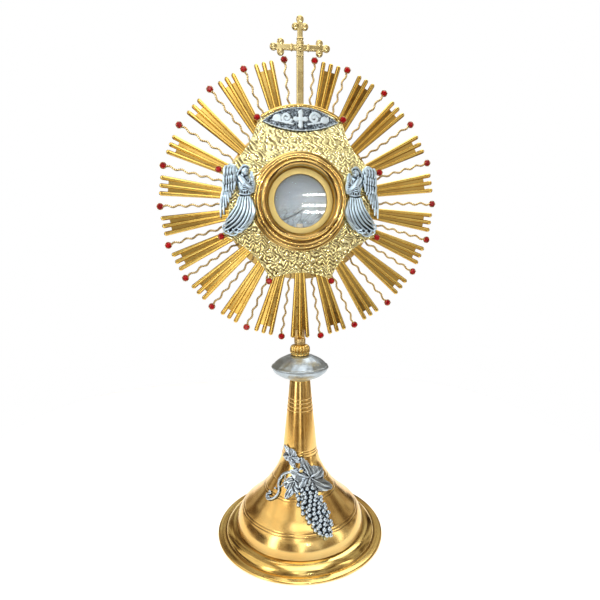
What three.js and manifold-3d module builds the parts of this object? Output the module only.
// Altar monstrance, in millimetres. +Z is up, the front faces -Y, and the origin is the centre of
// the foot's underside. A spun foot and stem carry a knop, and above it a sunburst of fluted and
// wavy rays round a glazed case, which opens at the rear on a hinged door.
import * as THREE from "three";
import { mergeVertices } from "three/addons/utils/BufferGeometryUtils.js";
import Module from "manifold-3d";

const wasm = await Module();
wasm.setup();

// ---- driving dimensions ----
const HEIGHT = 700; // foot to the top of the cross
const CENTRE_Z = 460; // middle of the window and of the sunburst
const GAP = 0.3; // between pieces that touch
const WALL = 1.6; // spun sheet

const FOOT_RADIUS = 116.2;
const BELL_FOOT_RADIUS = 90.5;
const BELL_FOOT_Z = 11.9;
const BELL_TOP_Z = 112;
const NECK_RADIUS = 25.2;
const STEM_TOP_RADIUS = 14.2;
const STEM_TOP_Z = 216;
const KNOP_RADIUS = 39.6;
const KNOP_JOIN_Z = 232.6;
const KNOP_TOP_Z = 250;
const COLLAR_RADIUS = 13.9;
const COLLAR_HEIGHT = 14.5;
const COLLAR_FLUTES = 16;
const ROD_RADIUS = 4;
const ROD_CLEARANCE = 0.6;

// The rays were set by eye, so they aren't quite even. Degrees clockwise from the cross.
const FLUTED_TURNS = [
  13, 29, 46.5, 64, 81, 98, 113, 129, 147, 163.5, 180, 196, 212, 228.5, 244, 259.5, 276, 293, 311, 328.5,
  345,
];
const WAVY_TURNS = [
  6, 20, 38, 55, 72.5, 90, 105.5, 120.5, 138, 155.5, 171, 188, 203.5, 220.5, 236.5, 251.5, 267.5, 284,
  301.5, 320.5, 336.5, 353.5,
];
const RAY_ROOT = 74;
const RAY_TIP = 186;
const RAY_NOTCH = 174.5;
const FINGER_SPREAD = THREE.MathUtils.degToRad(3.2);
const FINGER_ROOT_RADIUS = 1.6;
const FINGER_TIP_RADIUS = 3;
const WEB_THICKNESS = 1.6;
const WIRE_RADIUS = 1.1;
const WIRE_SWING = 1.3;
const WIRE_WAVES = 7;
const GEM_CIRCLE = 185;
const GEM_RADIUS = 4.3;

const SHEET = 1.6; // face plate and backing ring
const RAY_CLEARANCE = 2.8; // from the rays' mid-plane to the sheet before and behind them
const PLATE_FRONT = -(RAY_CLEARANCE + SHEET);
const MOUNT_FACE = PLATE_FRONT - GAP;
const CASE_RADIUS = 45.6;
const CASE_WALL = 2.3;
const CASE_BACK = 20;
const WINDOW_RADIUS = 35;
const GLASS_THICKNESS = 2;
const GLASS_FRONT = -8.2;
const RETAINER_DEPTH = 2.9;
const BEZEL_RADIUS = 66;
const FLANGE_FRONT = -6.4;
const ANGEL_BACK = FLANGE_FRONT - 1.2;
const CASE_BORE = CASE_RADIUS - CASE_WALL;
const CASE_FRONT = GLASS_FRONT + GAP;

const DOOR_RADIUS = CASE_RADIUS + 1.9;
const DOOR_THICKNESS = 3;
const LINING_RADIUS = CASE_BORE - 2.3;
const LINING_THICKNESS = 1.2;
const HINGE_X = CASE_RADIUS + 5.9;
const HINGE_Y = CASE_BACK + 1.8;
const KNUCKLE_RADIUS = 2.6;
const KNUCKLE_HALF = 6; // half the door's middle knuckle
const KNUCKLE_SIDE = 7.7; // length of each outer knuckle
const PIN_RADIUS = 1.2;
const LATCH_X = -(CASE_BORE - 5.3);
const LATCH_REACH = 4.6;
const HOLDER_WIDTH = 8.6;
const HOLDER_LENGTH = 10;
const HOLDER_TOP = CENTRE_Z - 28.5;

// ---- materials ----
function finish(color, roughness, metalness = 1) {
  return new THREE.MeshStandardMaterial({ color, roughness, metalness });
}
const POLISHED_GOLD = finish(0xd8a236, 0.16);
const PALE_GOLD = finish(0xdcc766, 0.3);
const SATIN_GOLD = finish(0xd0a040, 0.3);
const OLD_SILVER = finish(0xa9b4bd, 0.35);
const BRIGHT_SILVER = finish(0xc3c8c8, 0.22);
const RED_GLASS = finish(0xa80c0c, 0.08, 0);
const CLEAR_GLASS = finish(0xe8eef2, 0.03, 0);
const PALE_CLOTH = finish(0xbcc2cc, 0.8, 0);

const monstrance = new THREE.Group();

function add(name, geometry, material, parent = monstrance) {
  const mesh = new THREE.Mesh(geometry, material);
  mesh.name = name;
  parent.add(mesh);
  return mesh;
}

// ---- solids ----
function toSolid(geometry) {
  const bare = new THREE.BufferGeometry();
  bare.setAttribute("position", geometry.getAttribute("position"));
  bare.setIndex(geometry.index);
  const merged = mergeVertices(bare, 1e-4);
  return new wasm.Manifold(
    new wasm.Mesh({
      numProp: 3,
      vertProperties: merged.attributes.position.array,
      triVerts: new Uint32Array(merged.index.array),
    }),
  );
}

function toGeometry(solid) {
  const made = solid.getMesh();
  const geometry = new THREE.BufferGeometry();
  geometry.setAttribute("position", new THREE.BufferAttribute(made.vertProperties, 3));
  geometry.setIndex(new THREE.BufferAttribute(made.triVerts, 1));
  geometry.computeVertexNormals();
  return geometry;
}

function join(...geometries) {
  return toGeometry(geometries.map(toSolid).reduce((whole, part) => whole.add(part)));
}

function cut(geometry, ...tools) {
  return toGeometry(tools.map(toSolid).reduce((left, tool) => left.subtract(tool), toSolid(geometry)));
}

// ---- shapes ----
// A closed [radius, height] outline, run anticlockwise, turned about +Z.
function turned(outline, segments) {
  const points = outline.map(([r, z]) => new THREE.Vector2(r, z));
  if (outline[0][0] > 0) points.push(points[0].clone());
  return new THREE.LatheGeometry(points, segments).rotateX(Math.PI / 2);
}

// The same, turned about the window's axis, so that a height is a place along +Y.
function turnedFacing(outline, segments, z = CENTRE_Z) {
  const points = outline.map(([r, y]) => new THREE.Vector2(r, y));
  if (outline[0][0] > 0) points.push(points[0].clone());
  return new THREE.LatheGeometry(points, segments).translate(0, 0, z);
}

function rod(radius, from, to, segments = 16) {
  return turned([[0, from], [radius, from], [radius, to], [0, to]], segments);
}

// A line of points without the ones that fall on the point before, the last one included.
function distinct(points) {
  return points.filter((p, i) => p.distanceTo(points[(i + points.length - 1) % points.length]) > 0.01);
}

// A flat outline drawn in X and Z, standing between two places along Y.
function upright(outline, front, back, curveSegments = 6) {
  const drawn = outline.extractPoints(curveSegments);
  const points = distinct(drawn.shape);
  const shape = new THREE.Shape(THREE.ShapeUtils.isClockWise(points) ? points.reverse() : points);
  shape.holes = drawn.holes.map((hole) => new THREE.Path(distinct(hole)));
  const options = { depth: back - front, bevelEnabled: false };
  return new THREE.ExtrudeGeometry(shape, options).rotateX(Math.PI / 2).translate(0, back, 0);
}

function block(x0, x1, y0, y1, z0, z1) {
  const box = new THREE.BoxGeometry(x1 - x0, y1 - y0, z1 - z0);
  return box.translate((x0 + x1) / 2, (y0 + y1) / 2, (z0 + z1) / 2);
}

// The outline of a shell: a line of outer points, and the same line set in by the wall.
function shellOutline(outer, wall) {
  const inner = outer.map(([r, z], i) => {
    if (i === 0 || i === outer.length - 1) return [r - wall, z];
    const along = new THREE.Vector2(outer[i + 1][0] - outer[i - 1][0], outer[i + 1][1] - outer[i - 1][1]);
    along.normalize();
    return [r - along.y * wall, z + along.x * wall];
  });
  return [...outer, ...inner.reverse()];
}

// ---- foot and stem ----
// The bell's outer line, from its foot up to the neck.
const bellLine = new THREE.SplineCurve(
  [
    [BELL_FOOT_RADIUS, BELL_FOOT_Z],
    [87.6, 24],
    [80.6, 36],
    [66, 48.5],
    [51, 63.5],
    [38, 81.5],
    [29.2, 98],
    [NECK_RADIUS, BELL_TOP_Z],
  ].map(([r, z]) => new THREE.Vector2(r, z)),
);
const BELL_STEPS = 9;

function footRim() {
  const lip = 9; // width of the flat rim that stands on the table
  const seat = BELL_FOOT_Z - GAP;
  const outline = [
    [FOOT_RADIUS - lip, 0],
    [FOOT_RADIUS - 1.6, 0],
    [FOOT_RADIUS, 1.1],
    [FOOT_RADIUS, 2.3],
    [FOOT_RADIUS - 1.8, 3.5],
    [FOOT_RADIUS - lip, 3.9],
    [FOOT_RADIUS - lip - 1.4, 3.3],
    [FOOT_RADIUS - lip - 2.8, 6],
    [FOOT_RADIUS - lip - 6.2, 8.8],
    [FOOT_RADIUS - lip - 10.6, seat - 0.5],
    [BELL_FOOT_RADIUS + 1.8, seat],
    [BELL_FOOT_RADIUS - 2, seat],
    [BELL_FOOT_RADIUS - 2, seat - WALL],
    [FOOT_RADIUS - lip - 10.8, seat - 2.2],
    [FOOT_RADIUS - lip - 7.4, 6.6],
    [FOOT_RADIUS - lip - 4.4, 4.2],
    [FOOT_RADIUS - lip - 3, 1.4],
  ];
  return turned(outline, 40);
}

function footBell() {
  const outer = bellLine.getSpacedPoints(BELL_STEPS).map((p) => [p.x, p.y]);
  const ledge = [
    [ROD_RADIUS + ROD_CLEARANCE, BELL_TOP_Z],
    [ROD_RADIUS + ROD_CLEARANCE, BELL_TOP_Z - 2],
    [NECK_RADIUS - WALL, BELL_TOP_Z - 2],
  ];
  const inner = shellOutline(outer, WALL).slice(outer.length + 1);
  const shell = turned([...outer, ...ledge, ...inner], 40);
  return cut(shell, onNormal(rod(RIVET_RADIUS + GAP, -6, 6, 12), RIVET_PLACE, 0));
}

function stemCone() {
  const foot = BELL_TOP_Z + GAP;
  const lean = (NECK_RADIUS - 0.6 - STEM_TOP_RADIUS) / (STEM_TOP_Z - foot);
  const at = (z) => STEM_TOP_RADIUS + lean * (STEM_TOP_Z - z);
  const bore = ROD_RADIUS + ROD_CLEARANCE;
  const outline = [
    [at(foot) - 2, foot],
    [at(foot), foot],
    [STEM_TOP_RADIUS, STEM_TOP_Z],
    [bore, STEM_TOP_Z],
    [bore, STEM_TOP_Z - 2.4],
    [STEM_TOP_RADIUS - 2, STEM_TOP_Z - 2.4],
  ];
  return turned(outline, 28);
}

function knopLower() {
  const foot = STEM_TOP_Z + GAP;
  const rim = KNOP_JOIN_Z - GAP / 2;
  const bore = ROD_RADIUS + ROD_CLEARANCE;
  const outer = [
    [STEM_TOP_RADIUS + 0.6, foot],
    [26, foot + 4.2],
    [KNOP_RADIUS - 5.4, foot + 9.2],
    [KNOP_RADIUS - 1, rim],
  ];
  const inner = [
    [KNOP_RADIUS - 3.2, rim],
    [KNOP_RADIUS - 7, foot + 10.2],
    [25, foot + 5.8],
    [STEM_TOP_RADIUS, foot + WALL],
  ];
  return turned([[bore, foot], ...outer, ...inner, [bore, foot + WALL]], 28);
}

function knopUpper() {
  const rim = KNOP_JOIN_Z + GAP / 2;
  const bore = ROD_RADIUS + ROD_CLEARANCE;
  const outer = [
    [KNOP_RADIUS - 1, rim],
    [KNOP_RADIUS, rim + 1.2],
    [KNOP_RADIUS - 0.6, rim + 2.6],
    [KNOP_RADIUS - 4.6, rim + 6.6],
    [KNOP_RADIUS - 12.4, rim + 12],
    [COLLAR_RADIUS + 4.2, KNOP_TOP_Z - 1.2],
    [COLLAR_RADIUS, KNOP_TOP_Z],
  ];
  const inner = [
    [COLLAR_RADIUS, KNOP_TOP_Z - 2],
    [KNOP_RADIUS - 13.2, rim + 10.2],
    [KNOP_RADIUS - 6, rim + 5.2],
    [KNOP_RADIUS - 3.2, rim],
  ];
  return turned([...outer, [bore, KNOP_TOP_Z], [bore, KNOP_TOP_Z - 2], ...inner], 28);
}

const COLLAR_FOOT = KNOP_TOP_Z + GAP;
const COLLAR_TOP = COLLAR_FOOT + COLLAR_HEIGHT;

function flutedCollar() {
  const bore = ROD_RADIUS + ROD_CLEARANCE;
  const barrel = turned(
    [
      [bore, COLLAR_FOOT],
      [COLLAR_RADIUS - 1.2, COLLAR_FOOT],
      [COLLAR_RADIUS, COLLAR_FOOT + 2.6],
      [COLLAR_RADIUS, COLLAR_TOP - 4.4],
      [COLLAR_RADIUS - 3.2, COLLAR_TOP],
      [bore, COLLAR_TOP],
    ],
    2 * COLLAR_FLUTES,
  );
  const points = [];
  for (let i = 0; i < 2 * COLLAR_FLUTES; i++) {
    const angle = (i * Math.PI) / COLLAR_FLUTES;
    const r = i % 2 ? COLLAR_RADIUS * 0.88 : COLLAR_RADIUS * 1.02;
    points.push(new THREE.Vector2(r * Math.cos(angle), r * Math.sin(angle)));
  }
  const options = { depth: COLLAR_HEIGHT, bevelEnabled: false };
  const star = new THREE.ExtrudeGeometry(new THREE.Shape(points), options);
  return toGeometry(toSolid(barrel).intersect(toSolid(star.translate(0, 0, COLLAR_FOOT))));
}

// The shank stands on the collar and runs up behind the lowest ray to the backing ring.
const SHANK_FOOT = COLLAR_TOP + GAP;
const SHANK_PLUG_TOP = CENTRE_Z - RAY_TIP - 0.6;
const SHANK_FRONT = RAY_CLEARANCE + SHEET + GAP;
const ROD_TOP = SHANK_PLUG_TOP - 2.2;

function headShank() {
  const plug = rod(7.6, SHANK_FOOT, SHANK_PLUG_TOP, 20);
  const bar = block(-7.4, 7.4, SHANK_FRONT, SHANK_FRONT + 5.5, SHANK_FOOT, CENTRE_Z - 60);
  const bore = rod(ROD_RADIUS + GAP, SHANK_FOOT - 5, ROD_TOP + GAP);
  return cut(join(plug, bar), bore);
}

const WASHER_TOP = BELL_TOP_Z - 2 - GAP;
const WASHER_THICKNESS = 3;
const NUT_HEIGHT = 6.5;
const NUT_RADIUS = 7.5;

function tieWasher() {
  const bore = ROD_RADIUS + GAP;
  const foot = WASHER_TOP - WASHER_THICKNESS;
  return turned([[bore, foot], [15, foot], [15, WASHER_TOP], [bore, WASHER_TOP]], 24);
}

function tieNut() {
  const top = WASHER_TOP - WASHER_THICKNESS - GAP;
  const hexagon = rod(NUT_RADIUS, top - NUT_HEIGHT, top, 6);
  return cut(hexagon, rod(ROD_RADIUS + GAP, top - NUT_HEIGHT - 1, top + 1));
}

// ---- sunburst ----
function towards(angle) {
  const holder = new THREE.Group();
  holder.position.z = CENTRE_Z;
  holder.rotation.y = angle;
  monstrance.add(holder);
  return holder;
}

// One fluted ray, drawn up +Z from the window's centre: three tapered fingers on a thin web.
function flutedRay() {
  const length = RAY_TIP - RAY_ROOT;
  const fingers = [-1, 0, 1].map((side) =>
    new THREE.CylinderGeometry(FINGER_TIP_RADIUS, FINGER_ROOT_RADIUS, length, 6)
      .rotateX(Math.PI / 2)
      .translate(0, 0, RAY_ROOT + length / 2)
      .rotateY(side * FINGER_SPREAD),
  );
  const half = (r) => r * Math.sin(FINGER_SPREAD);
  const web = new THREE.Shape([
    new THREE.Vector2(-half(RAY_ROOT), RAY_ROOT + 0.2),
    new THREE.Vector2(half(RAY_ROOT), RAY_ROOT + 0.2),
    new THREE.Vector2(half(RAY_NOTCH), RAY_NOTCH),
    new THREE.Vector2(-half(RAY_NOTCH), RAY_NOTCH),
  ]);
  return join(...fingers, upright(web, -WEB_THICKNESS / 2, WEB_THICKNESS / 2));
}

// A setting with its round stone, centred on the Y axis. Its back is at y = 0.
function setting(segments, spans) {
  const front = -1.05 * GEM_RADIUS;
  const dome = [];
  for (let i = 0; i < spans; i++) {
    const a = (i * Math.PI) / 2 / spans;
    dome.push([GEM_RADIUS * Math.sin(a), front * (0.45 + 0.55 * Math.cos(a))]);
  }
  const outline = [...dome, [GEM_RADIUS, front * 0.45], [GEM_RADIUS * 0.78, 0], [0, 0]];
  return turnedFacing(outline, segments, 0);
}

// The wavy rays are bent wires, all brazed to one ring behind the face plate.
function wavyRays() {
  const ringIn = 66;
  const ringOut = 71;
  const wireRoot = ringOut - 2;
  const ring = turnedFacing(
    [[ringIn, -1], [ringOut, -1], [ringOut, 1], [ringIn, 1]],
    24,
    0,
  );
  const points = [];
  for (let i = 0; i <= 2 * WIRE_WAVES; i++) {
    const r = wireRoot + ((GEM_CIRCLE - wireRoot) * i) / (2 * WIRE_WAVES);
    points.push(new THREE.Vector3(i % 2 ? WIRE_SWING : -WIRE_SWING, 0, r));
  }
  const section = new THREE.Shape();
  for (let i = 0; i < 3; i++) {
    const angle = (i * 2 * Math.PI) / 3;
    const corner = [WIRE_RADIUS * Math.cos(angle), WIRE_RADIUS * Math.sin(angle)];
    if (i) section.lineTo(...corner);
    else section.moveTo(...corner);
  }
  const path = new THREE.CurvePath();
  for (let i = 1; i < points.length; i++) path.add(new THREE.LineCurve3(points[i - 1], points[i]));
  const wire = new THREE.ExtrudeGeometry(section, { extrudePath: path, steps: 2 * WIRE_WAVES });
  const cup = setting(6, 1).translate(0, 1.8, GEM_CIRCLE);
  let whole = toSolid(ring);
  const ray = toSolid(wire).add(toSolid(cup));
  for (const turn of WAVY_TURNS) whole = whole.add(ray.rotate([0, turn, 0]));
  return toGeometry(whole).translate(0, 0, CENTRE_Z);
}

// The corners that carry stones on the right half of the face plate, from the top: [x, z].
const PLATE_CORNERS = [
  [57, CENTRE_Z + 107.5],
  [107.5, CENTRE_Z + 40],
  [105.5, CENTRE_Z - 47],
  [42.5, CENTRE_Z - 106.5],
];
const STONE_PLACES = [...PLATE_CORNERS, ...PLATE_CORNERS.map(([x, z]) => [-x, z]).reverse()];
const CORNER_INSET = 2.5; // from a stone's centre back to the sheet's corner
const SIDE_HOLLOW = 9; // how far a side curves in from its chord
const ARCH_RADIUS = 95;
const ARCH_TOP = CENTRE_Z + 126.5;
const ARCH_BAND = 4.4;

function facePlate() {
  const corners = STONE_PLACES.map(([x, z]) => {
    const out = new THREE.Vector2(x, z - CENTRE_Z);
    return out.setLength(out.length() - CORNER_INSET);
  });
  const outline = new THREE.Shape();
  outline.moveTo(corners[0].x, corners[0].y);
  for (let i = 1; i < corners.length; i++) {
    const middle = corners[i - 1].clone().add(corners[i]).multiplyScalar(0.5);
    middle.setLength(middle.length() - 2 * SIDE_HOLLOW);
    outline.quadraticCurveTo(middle.x, middle.y, corners[i].x, corners[i].y);
  }
  const crown = ARCH_TOP - CENTRE_Z - ARCH_BAND;
  outline.quadraticCurveTo(0, 2 * crown - corners[0].y, corners[0].x, corners[0].y);
  const hole = new THREE.Path().absarc(0, 0, CASE_RADIUS + 2 * GAP, 0, 2 * Math.PI, true);
  outline.holes.push(new THREE.Path(hole.getPoints(20)));
  return upright(outline, PLATE_FRONT, PLATE_FRONT + SHEET, 6).translate(0, 0, CENTRE_Z);
}

function backingRing() {
  const inside = CASE_RADIUS + GAP;
  const outside = 104;
  return turnedFacing(
    [
      [inside, RAY_CLEARANCE],
      [outside, RAY_CLEARANCE],
      [outside, RAY_CLEARANCE + SHEET],
      [inside, RAY_CLEARANCE + SHEET],
    ],
    44,
  );
}

// A bright band that arches over the plaque, from stone to stone.
function plaqueArch() {
  const middle = ARCH_TOP - ARCH_RADIUS;
  const reach = PLATE_CORNERS[0][0] - GEM_RADIUS - 1.4;
  const swing = Math.asin(reach / ARCH_RADIUS);
  const band = new THREE.Shape();
  band.absarc(0, middle, ARCH_RADIUS, Math.PI / 2 - swing, Math.PI / 2 + swing, false);
  band.absarc(0, middle, ARCH_RADIUS - ARCH_BAND, Math.PI / 2 + swing, Math.PI / 2 - swing, true);
  band.closePath();
  return upright(band, MOUNT_FACE - 2, MOUNT_FACE, 14);
}

const PLAQUE_HALF = 50;
const PLAQUE_TIP_Z = CENTRE_Z + 103;
const PLAQUE_RISE = 18.2;
const PLAQUE_DROP = 11.5;

// A pointed oval with a raised equal-armed cross between two scrolled bosses.
function plaque() {
  const face = MOUNT_FACE - 3;
  const arc = (rise) => (PLAQUE_HALF ** 2 + rise ** 2) / (2 * rise);
  const up = arc(PLAQUE_RISE);
  const down = arc(PLAQUE_DROP);
  const upSwing = Math.asin(PLAQUE_HALF / up);
  const downSwing = Math.asin(PLAQUE_HALF / down);
  const oval = new THREE.Shape();
  const upMiddle = PLAQUE_TIP_Z + PLAQUE_RISE - up;
  const downMiddle = PLAQUE_TIP_Z - PLAQUE_DROP + down;
  oval.absarc(0, upMiddle, up, Math.PI / 2 - upSwing, Math.PI / 2 + upSwing, false);
  oval.absarc(0, downMiddle, down, 1.5 * Math.PI - downSwing, 1.5 * Math.PI + downSwing, false);
  const z = PLAQUE_TIP_Z + 3;
  const front = face - 1.6;
  const bars = [
    block(-1.8, 1.8, front, face + 1, z - 10, z + 10),
    block(-7.5, 7.5, front, face + 1, z - 1.8, z + 1.8),
  ];
  const boss = (x) =>
    turnedFacing([[0, front], [4.6, front], [5.4, face + 1], [0, face + 1]], 12, z - 1).translate(x, 0, 0);
  return join(upright(oval, face, MOUNT_FACE, 12), ...bars, boss(-19), boss(19));
}

// The cross stands on its own flat shaft in the top place of the sunburst.
const CROSS_Z = CENTRE_Z + 199.6;
const CROSS_ARM = 34.8; // from the middle to the centre of the end lobe
const CROSS_HALF = 4.8; // half the shaft's width
const LOBE_RADIUS = 4.9;

function crossFinial() {
  const front = -1.9;
  const back = 1.9;
  const lobe = (x, z) =>
    turnedFacing(
      [[0, front - 0.5], [LOBE_RADIUS - 1, front - 0.5], [LOBE_RADIUS, front], [LOBE_RADIUS, back], [0, back]],
      10,
      z,
    ).translate(x, 0, 0);
  const topLobe = HEIGHT - LOBE_RADIUS;
  const shaft = block(-CROSS_HALF, CROSS_HALF, front, back, CENTRE_Z + RAY_ROOT, topLobe);
  const arms = block(-CROSS_ARM, CROSS_ARM, front, back, CROSS_Z - CROSS_HALF, CROSS_Z + CROSS_HALF);
  const inset = 9.4;
  const lobes = [lobe(0, topLobe), lobe(-5.9, topLobe - inset), lobe(5.9, topLobe - inset)];
  for (const side of [-1, 1]) {
    lobes.push(lobe(side * CROSS_ARM, CROSS_Z));
    lobes.push(lobe(side * (CROSS_ARM - inset), CROSS_Z - 6), lobe(side * (CROSS_ARM - inset), CROSS_Z + 6));
  }
  const diamond = block(-5.2, 5.2, front - 1, back, -5.2, 5.2)
    .rotateY(Math.PI / 4)
    .translate(0, 0, CROSS_Z);
  return join(shaft, arms, diamond, ...lobes);
}

// A kneeling angel in relief, as an outline of its wings, robe and head. It faces +X.
const ANGEL_OUTLINE = [
  [-73.5, 50], [-68.2, 46], [-67.8, 40], [-70.5, 34], [-66.5, 33.5], [-64.6, 37], [-61.6, 31],
  [-60.6, 21], [-58.9, 13.6], [-64.6, 9.4], [-64.6, -1], [-59.8, -10], [-59.4, -16.8], [-64.5, -24],
  [-71, -33.5], [-80.5, -42], [-89.5, -45.6], [-97, -44.2], [-103, -36.5], [-101.5, -28],
  [-108, -22.6], [-104.6, -4], [-103.2, 14], [-100.8, 34], [-96, 43], [-88, 47.4], [-82, 44],
];
const ANGEL_GAP = [[-86.5, 9.5], [-89.5, -2], [-94.5, -14], [-95.5, -21], [-88, -14.5], [-84, -2]];

function angel(side) {
  const points = (list) => list.map(([x, z]) => new THREE.Vector2(-side * x, z + CENTRE_Z));
  const outline = new THREE.Shape(points(ANGEL_OUTLINE));
  outline.holes.push(new THREE.Path(points(ANGEL_GAP)));
  const pegs = [[-74, 12], [-80, -30]].map(([x, z]) =>
    turnedFacing(
      [[0, ANGEL_BACK - 1], [2, ANGEL_BACK - 1], [2, MOUNT_FACE], [0, MOUNT_FACE]],
      8,
      CENTRE_Z + z,
    ).translate(-side * x, 0, 0),
  );
  return join(upright(outline, ANGEL_BACK - 4.2, ANGEL_BACK), ...pegs);
}

// ---- glazed case ----
function bezelRing() {
  const bore = CASE_RADIUS + GAP;
  const recess = GLASS_FRONT - RETAINER_DEPTH - GAP; // mouth of the retainer's seat
  const outline = [
    [CASE_BORE + GAP, recess - 0.6],
    [WINDOW_RADIUS + 11.9, -20.4],
    [WINDOW_RADIUS + 14.8, -22.6],
    [WINDOW_RADIUS + 17.6, -20.6],
    [WINDOW_RADIUS + 18.6, -16.4],
    [WINDOW_RADIUS + 19.4, -13.6],
    [WINDOW_RADIUS + 21.6, -14.4],
    [WINDOW_RADIUS + 23.2, -12],
    [WINDOW_RADIUS + 23.4, FLANGE_FRONT],
    [BEZEL_RADIUS, FLANGE_FRONT],
    [BEZEL_RADIUS, MOUNT_FACE],
    [bore, MOUNT_FACE],
    [bore, CASE_FRONT - GAP],
    [CASE_BORE + GAP, CASE_FRONT - GAP],
  ];
  return turnedFacing(outline, 40);
}

function windowRetainer() {
  const back = GLASS_FRONT - GAP;
  const front = back - RETAINER_DEPTH;
  return turnedFacing(
    [
      [WINDOW_RADIUS, back],
      [WINDOW_RADIUS, front + 0.8],
      [WINDOW_RADIUS + 0.8, front],
      [CASE_BORE - 0.8, front],
      [CASE_BORE, front + 0.8],
      [CASE_BORE, back],
    ],
    40,
  );
}

function frontGlass() {
  const radius = CASE_BORE - GAP - 0.2;
  const back = GLASS_FRONT + GLASS_THICKNESS;
  return turnedFacing([[0, GLASS_FRONT], [radius, GLASS_FRONT], [radius, back], [0, back]], 40);
}

function knuckle(from, to) {
  return rod(KNUCKLE_RADIUS, from, to, 16).translate(HINGE_X, HINGE_Y, 0);
}

const KNUCKLE_SPACE = 0.4;
const KNUCKLE_ENDS = [KNUCKLE_HALF + KNUCKLE_SPACE, KNUCKLE_HALF + KNUCKLE_SPACE + KNUCKLE_SIDE];

function pinHole() {
  const reach = KNUCKLE_ENDS[1] + 2;
  return rod(PIN_RADIUS + 0.35, CENTRE_Z - reach, CENTRE_Z + reach).translate(HINGE_X, HINGE_Y, 0);
}

function caseDrum() {
  const drum = turnedFacing(
    [
      [CASE_BORE, CASE_FRONT],
      [CASE_RADIUS, CASE_FRONT],
      [CASE_RADIUS, CASE_BACK],
      [CASE_BORE, CASE_BACK],
    ],
    40,
  );
  const ears = [-1, 1].flatMap((side) => {
    const [low, high] = KNUCKLE_ENDS.map((z) => CENTRE_Z + side * z).sort((a, b) => a - b);
    const leaf = block(CASE_BORE + 0.6, HINGE_X, CASE_BACK - 3, CASE_BACK - 0.2, low, high);
    return [leaf, knuckle(low, high)];
  });
  return cut(join(drum, ...ears), pinHole());
}

const LINING_BACK = CASE_BACK;
const DOOR_FRONT = CASE_BACK + GAP;
const DOOR_BACK = DOOR_FRONT + DOOR_THICKNESS;

function doorFrame() {
  const disc = turnedFacing(
    [
      [0, DOOR_FRONT],
      [DOOR_RADIUS, DOOR_FRONT],
      [DOOR_RADIUS, DOOR_BACK - 0.8],
      [DOOR_RADIUS - 0.8, DOOR_BACK],
      [DOOR_RADIUS - 5, DOOR_BACK],
      [DOOR_RADIUS - 6, DOOR_BACK - 1],
      [0, DOOR_BACK - 1],
    ],
    40,
  );
  const low = CENTRE_Z - KNUCKLE_HALF;
  const high = CENTRE_Z + KNUCKLE_HALF;
  const leaf = block(DOOR_RADIUS - 4, HINGE_X, DOOR_FRONT, DOOR_BACK - 0.6, low, high);
  return cut(join(disc, leaf, knuckle(low, high)), pinHole(), latchHole(SPINDLE_RADIUS + 0.35));
}

const SPINDLE_RADIUS = 1.8;
const CAM_FRONT = 14.8;
const CAM_BACK = 17.6;

function latchHole(radius) {
  return turnedFacing(
    [[0, CAM_FRONT - 4], [radius, CAM_FRONT - 4], [radius, DOOR_BACK + 4], [0, DOOR_BACK + 4]],
    16,
  ).translate(LATCH_X, 0, 0);
}

function doorLining() {
  const front = LINING_BACK - LINING_THICKNESS;
  const disc = turnedFacing(
    [[0, front], [LINING_RADIUS, front], [LINING_RADIUS, LINING_BACK], [0, LINING_BACK]],
    40,
  );
  return cut(disc, latchHole(SPINDLE_RADIUS + 0.8));
}

function hingePin() {
  const end = KNUCKLE_ENDS[1] + GAP;
  const head = 1;
  const outline = [
    [0, -end - head],
    [PIN_RADIUS + 0.9, -end - head],
    [PIN_RADIUS + 0.9, -end],
    [PIN_RADIUS, -end],
    [PIN_RADIUS, end],
    [PIN_RADIUS + 0.9, end],
    [PIN_RADIUS + 0.9, end + head],
    [0, end + head],
  ];
  return turned(outline, 12).translate(HINGE_X, HINGE_Y, CENTRE_Z);
}

// A turned knob outside the door, with its spindle through it, and a grip bar across its end.
const KNOB_FOOT = DOOR_BACK + GAP;
const KNOB_LENGTH = 10;

function doorKnob() {
  const end = KNOB_FOOT + KNOB_LENGTH;
  const turnedPart = turnedFacing(
    [
      [0, CAM_FRONT - 1.4],
      [SPINDLE_RADIUS, CAM_FRONT - 1.4],
      [SPINDLE_RADIUS, KNOB_FOOT],
      [4.8, KNOB_FOOT],
      [4.8, KNOB_FOOT + 1.6],
      [2.6, KNOB_FOOT + 3],
      [2.6, KNOB_FOOT + 4.6],
      [5, KNOB_FOOT + 6.6],
      [5.4, KNOB_FOOT + 8],
      [4.4, end],
      [0, end],
    ],
    16,
  );
  const grip = block(-7, 7, KNOB_FOOT + 6.2, KNOB_FOOT + 8.8, -1.3, 1.3).translate(0, 0, CENTRE_Z);
  return join(turnedPart, grip).translate(LATCH_X, 0, 0);
}

// The cam turns with the knob. Its rounded end bears on the drum's wall when it points outwards.
function latchCam() {
  const half = 2.5;
  const tongue = new THREE.Shape();
  tongue.absarc(-(LATCH_REACH - half), 0, half, Math.PI / 2, 1.5 * Math.PI, false);
  tongue.absarc(0, 0, half + 1, 1.5 * Math.PI, 2.5 * Math.PI, false);
  tongue.closePath();
  tongue.holes.push(new THREE.Path().absarc(0, 0, SPINDLE_RADIUS + 0.25, 0, 2 * Math.PI, true));
  return upright(tongue, CAM_FRONT, CAM_BACK, 8).translate(LATCH_X, 0, CENTRE_Z);
}

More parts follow.
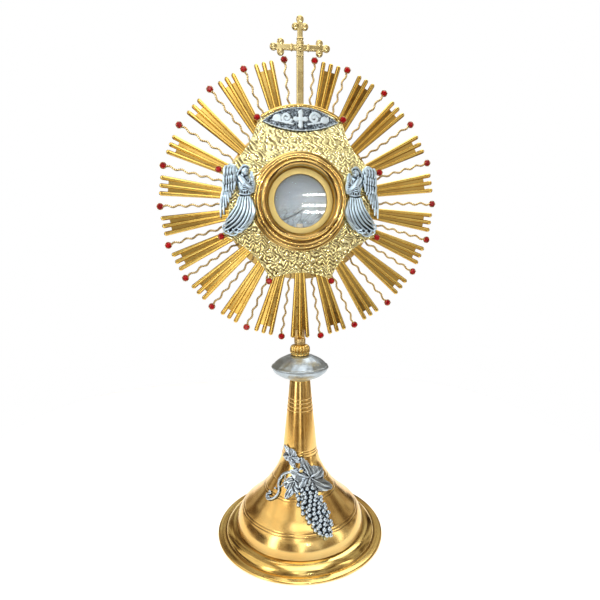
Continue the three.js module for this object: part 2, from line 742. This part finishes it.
// A channel inside the drum, in which the holder's foot slides.
const RAIL_HALF = HOLDER_WIDTH / 2 + GAP;
const RAIL_WALL = 1.6;
const RAIL_BASE = CENTRE_Z - Math.sqrt(CASE_BORE ** 2 - (RAIL_HALF + RAIL_WALL) ** 2) + 0.5;
const RAIL_FLOOR = RAIL_BASE + 1.4;
const RAIL_TOP = RAIL_FLOOR + 2.8;
const RAIL_FRONT = GLASS_FRONT + GLASS_THICKNESS + 1.2;
const RAIL_BACK = LINING_BACK - LINING_THICKNESS - 1;
const HOLDER_FRONT = 1.5;

function lunaRail() {
  const half = RAIL_HALF + RAIL_WALL;
  const whole = block(-half, half, RAIL_FRONT, RAIL_BACK, RAIL_BASE, RAIL_TOP);
  return cut(whole, block(-RAIL_HALF, RAIL_HALF, RAIL_FRONT - 1, RAIL_BACK + 1, RAIL_FLOOR, RAIL_TOP + 1));
}

// The slotted block that grips the luna's foot. It slides out to the rear when the door is open.
function lunaHolder() {
  const half = HOLDER_WIDTH / 2;
  const slot = 2.2;
  const middle = HOLDER_FRONT + HOLDER_LENGTH / 2;
  const foot = block(-half, half, HOLDER_FRONT, HOLDER_FRONT + HOLDER_LENGTH, RAIL_FLOOR + GAP, RAIL_TOP + 1.4);
  const head = block(-half, half, middle - 3.4, middle + 3.4, RAIL_TOP, HOLDER_TOP);
  const gap = block(-half - 1, half + 1, middle - slot / 2, middle + slot / 2, HOLDER_TOP - 5, HOLDER_TOP + 1);
  return cut(join(foot, head), gap);
}

// ---- vine ornament on the foot's bell ----
const BELL_LENGTH = bellLine.getLength();
const RIVET_RADIUS = 1.5;
const RIVET_PLACE = { turn: -3, z: 97 };
const ORNAMENT_LIFT = 0.9; // between the bell and the back of the casting

// How far along the bell's line, from its foot, a height lies.
function alongAt(z) {
  let low = 0;
  let high = 1;
  for (let i = 0; i < 24; i++) {
    const middle = (low + high) / 2;
    if (bellLine.getPointAt(middle).y < z) low = middle;
    else high = middle;
  }
  return low * BELL_LENGTH;
}

// A point over the bell: turn in degrees from the front towards +X, distance along its line, lift.
function overBell(turn, along, lift) {
  const t = THREE.MathUtils.clamp(along / BELL_LENGTH, 0, 1);
  const at = bellLine.getPointAt(t);
  const tangent = bellLine.getTangentAt(t);
  const r = at.x + tangent.y * lift;
  const z = at.y - tangent.x * lift;
  const angle = THREE.MathUtils.degToRad(turn);
  return new THREE.Vector3(r * Math.sin(angle), -r * Math.cos(angle), z);
}

// Stands a geometry drawn up +Z on the bell's surface, along its normal.
function onNormal(geometry, { turn, z }, lift) {
  const along = alongAt(z);
  const foot = overBell(turn, along, lift);
  const normal = overBell(turn, along, lift + 1).sub(foot);
  const turnTo = new THREE.Quaternion().setFromUnitVectors(new THREE.Vector3(0, 0, 1), normal);
  return geometry.applyQuaternion(turnTo).translate(foot.x, foot.y, foot.z);
}

// A domed patch that follows the bell along a straight centre line, closed by a back that clears it.
function bellPatch(from, to, halfWidth, height, rows = 9, columns = 7) {
  const start = { turn: from[0], along: alongAt(from[1]) };
  const end = { turn: to[0], along: alongAt(to[1]) };
  const point = (u, v, lift) => {
    const turn = THREE.MathUtils.lerp(start.turn, end.turn, v);
    const along = THREE.MathUtils.lerp(start.along, end.along, v);
    const skin = overBell(turn, along, 0);
    const mm = THREE.MathUtils.degToRad(1) * Math.hypot(skin.x, skin.y);
    const line = new THREE.Vector2((end.turn - start.turn) * mm, end.along - start.along).normalize();
    const side = u * halfWidth(v);
    return overBell(turn - (line.y * side) / mm, along + line.x * side, lift);
  };
  const positions = [];
  const index = [];
  for (const front of [1, 0]) {
    for (let i = 0; i <= rows; i++) {
      for (let j = 0; j <= columns; j++) {
        const u = (2 * j) / columns - 1;
        const v = i / rows;
        const dome = front * height * Math.sqrt(Math.max(0, 1 - u ** 4)) * (0.55 + 0.45 * Math.sin(Math.PI * v));
        positions.push(...point(u, v, ORNAMENT_LIFT + (front ? 0.8 : 0) + dome).toArray());
      }
    }
  }
  const row = columns + 1;
  const face = (rows + 1) * row;
  const quad = (a, b, c, d) => index.push(a, b, c, a, c, d);
  for (let i = 0; i < rows; i++) {
    for (let j = 0; j < columns; j++) {
      const a = i * row + j;
      quad(a, a + 1, a + 1 + row, a + row);
      quad(face + a, face + a + row, face + a + 1 + row, face + a + 1);
    }
    const left = i * row;
    const right = left + columns;
    quad(left, left + row, face + left + row, face + left);
    quad(right, face + right, face + right + row, right + row);
  }
  for (let j = 0; j < columns; j++) {
    const low = j;
    const high = rows * row + j;
    quad(low, face + low, face + low + 1, low + 1);
    quad(high, high + 1, face + high + 1, face + high);
  }
  const geometry = new THREE.BufferGeometry();
  geometry.setAttribute("position", new THREE.Float32BufferAttribute(positions, 3));
  geometry.setIndex(index);
  const solid = toSolid(geometry);
  if (solid.volume() < 0) {
    for (let i = 0; i < index.length; i += 3) [index[i + 1], index[i + 2]] = [index[i + 2], index[i + 1]];
    geometry.setIndex(index);
  }
  return geometry;
}

function vineOrnament() {
  const leaf = (width) => (v) => 0.6 + width * Math.sin(Math.PI * Math.min(1, 0.16 + 0.84 * v)) ** 0.8;
  const cluster = bellPatch([6, 80], [21.5, 32.5], (v) => 3 + 12 * Math.sin(Math.PI * (0.14 + 0.72 * v)) ** 0.7, 6.2, 7, 5);
  const upperLeaf = bellPatch([-12, 100], [-46, 120], leaf(8), 2.6, 5, 3);
  const lowerLeaf = bellPatch([-9, 98], [-27, 68], leaf(8), 2.6, 5, 3);
  const broadLeaf = bellPatch([-8, 98], [38, 76], leaf(13), 3.4, 6, 3);
  const boss = onNormal(rod(5, 0, 4.6, 12), RIVET_PLACE, ORNAMENT_LIFT);
  const vine = [[-16, 96], [-34, 93], [-47, 88], [-50, 79], [-43, 71], [-46, 63.5], [-56, 59], [-63, 62]];
  const route = new THREE.CatmullRomCurve3(vine.map(([turn, z]) => overBell(turn, alongAt(z), 3)));
  const section = new THREE.Shape();
  section.absarc(0, 0, 1.6, 0, 2 * Math.PI, false);
  const tendril = new THREE.ExtrudeGeometry(section, { extrudePath: route, steps: 14, curveSegments: 2 });
  const whole = join(cluster, upperLeaf, lowerLeaf, broadLeaf, boss, tendril);
  return cut(whole, onNormal(rod(RIVET_RADIUS + GAP, -2, 9, 12), RIVET_PLACE, ORNAMENT_LIFT));
}

function ornamentRivet() {
  const seat = ORNAMENT_LIFT + 4.6 + GAP;
  const outline = [
    [0, -4.5],
    [RIVET_RADIUS, -4.5],
    [RIVET_RADIUS, seat],
    [3, seat],
    [2.6, seat + 1.2],
    [1.4, seat + 2],
    [0, seat + 2.2],
  ];
  return onNormal(turned(outline, 12), RIVET_PLACE, 0);
}

// ---- assembly ----
add("foot_rim", footRim(), POLISHED_GOLD);
add("foot_bell", footBell(), POLISHED_GOLD);
add("stem_cone", stemCone(), POLISHED_GOLD);
add("knop_lower", knopLower(), BRIGHT_SILVER);
add("knop_upper", knopUpper(), BRIGHT_SILVER);
add("fluted_collar", flutedCollar(), POLISHED_GOLD);
add("head_shank", headShank(), SATIN_GOLD);
const NUT_FOOT = WASHER_TOP - WASHER_THICKNESS - GAP - NUT_HEIGHT;
add("tie_rod", rod(ROD_RADIUS, NUT_FOOT - 4, ROD_TOP), SATIN_GOLD);
add("tie_washer", tieWasher(), SATIN_GOLD);
add("tie_nut", tieNut(), SATIN_GOLD);
add("ray_backing_ring", backingRing(), SATIN_GOLD);
add("wavy_ray_ring", wavyRays(), PALE_GOLD);
const rayGeometry = flutedRay();
FLUTED_TURNS.forEach((turn, i) => {
  const name = "fluted_ray_" + String(i + 1).padStart(2, "0");
  add(name, rayGeometry, POLISHED_GOLD, towards(THREE.MathUtils.degToRad(turn)));
});
add("cross_finial", crossFinial(), PALE_GOLD);
add("face_plate", facePlate(), PALE_GOLD);
add("plaque_arch", plaqueArch(), POLISHED_GOLD);
add("plaque", plaque(), OLD_SILVER);
add("angel_left", angel(-1), OLD_SILVER);
add("angel_right", angel(1), OLD_SILVER);
STONE_PLACES.forEach(([x, z], i) => {
  const stone = add("corner_stone_" + (i + 1), setting(8, 2), RED_GLASS);
  stone.position.set(x, MOUNT_FACE, z);
});
add("bezel_ring", bezelRing(), POLISHED_GOLD);
add("window_retainer", windowRetainer(), PALE_GOLD);
add("front_glass", frontGlass(), CLEAR_GLASS);
add("case_drum", caseDrum(), SATIN_GOLD);
add("luna_rail", lunaRail(), SATIN_GOLD);
add("luna_holder", lunaHolder(), PALE_GOLD);
add("door_frame", doorFrame(), SATIN_GOLD);
add("door_lining", doorLining(), PALE_CLOTH);
add("door_hinge_pin", hingePin(), SATIN_GOLD);
add("door_knob", doorKnob(), POLISHED_GOLD);
add("latch_cam", latchCam(), SATIN_GOLD);
add("vine_ornament", vineOrnament(), OLD_SILVER);
add("ornament_rivet", ornamentRivet(), PALE_GOLD);

export default monstrance;
